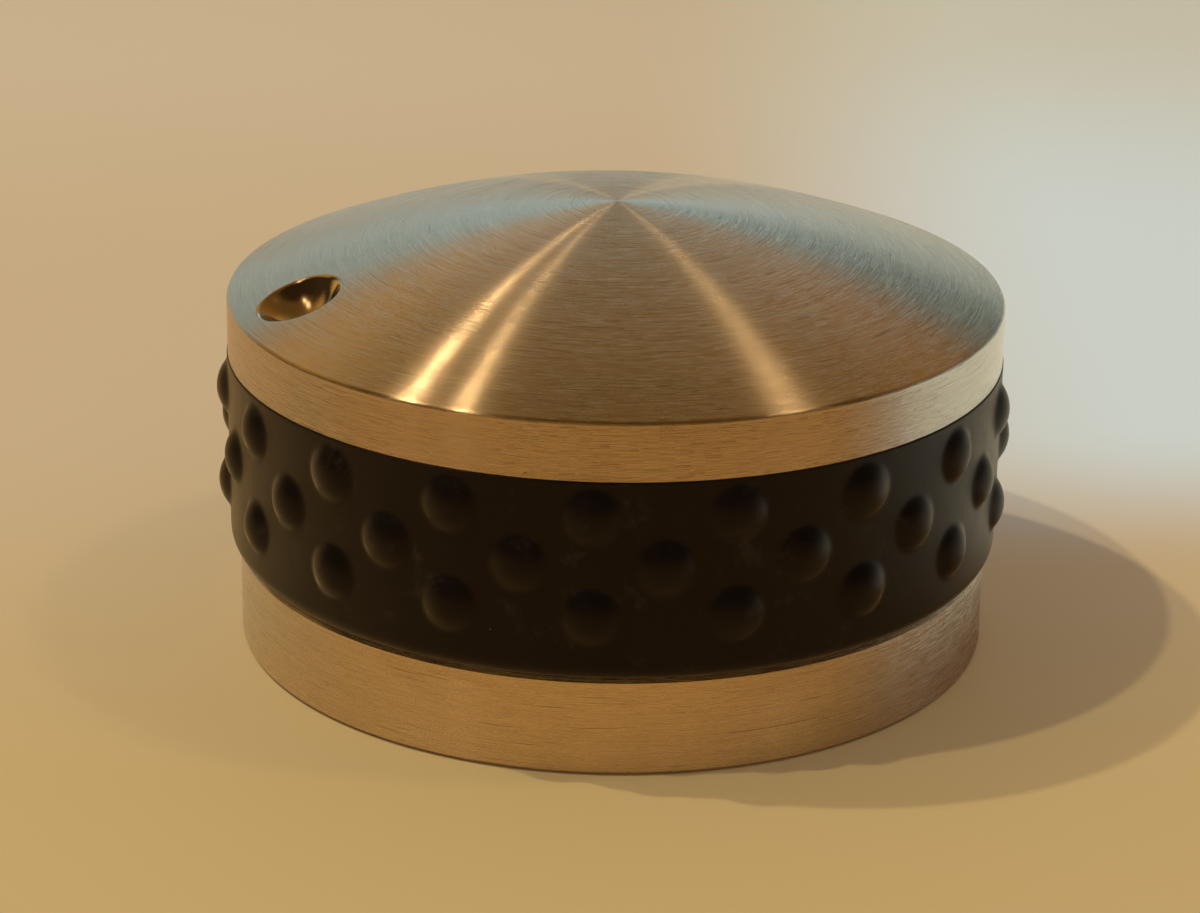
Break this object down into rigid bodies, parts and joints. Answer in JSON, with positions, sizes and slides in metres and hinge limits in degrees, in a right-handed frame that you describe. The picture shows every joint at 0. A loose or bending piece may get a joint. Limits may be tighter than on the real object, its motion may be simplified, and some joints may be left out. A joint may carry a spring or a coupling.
{
  "type": "stove knob",
  "caption": "Round push-on control knob with a domed metal cap, a bumped rubber grip, a metal foot ring and a D-shaped spindle socket.",
  "frame": {"origin": "centre of the flat foot that the knob stands on", "axes": "+Z along the spindle axis towards the dome; the pointer dimple is on the -Y side, and the flat of the spindle socket faces it from the +Y side"},
  "size_m": [0.0484, 0.0484, 0.027],
  "materials": {
    "cap_metal": "satin",
    "ring_metal": "satin",
    "grip_rubber": "satin",
    "insert_plastic": "matte",
    "spring_steel": "satin",
    "screw_steel": "satin"
  },
  "bodies": {
    "root": {"cap": "cap_metal", "grip_sleeve": "grip_rubber", "base_ring": "ring_metal", "spindle_insert": "insert_plastic", "spring_clip": "spring_steel", "insert_screw_1": "screw_steel", "insert_screw_2": "screw_steel", "insert_screw_3": "screw_steel"}
  },
  "joints": []
}
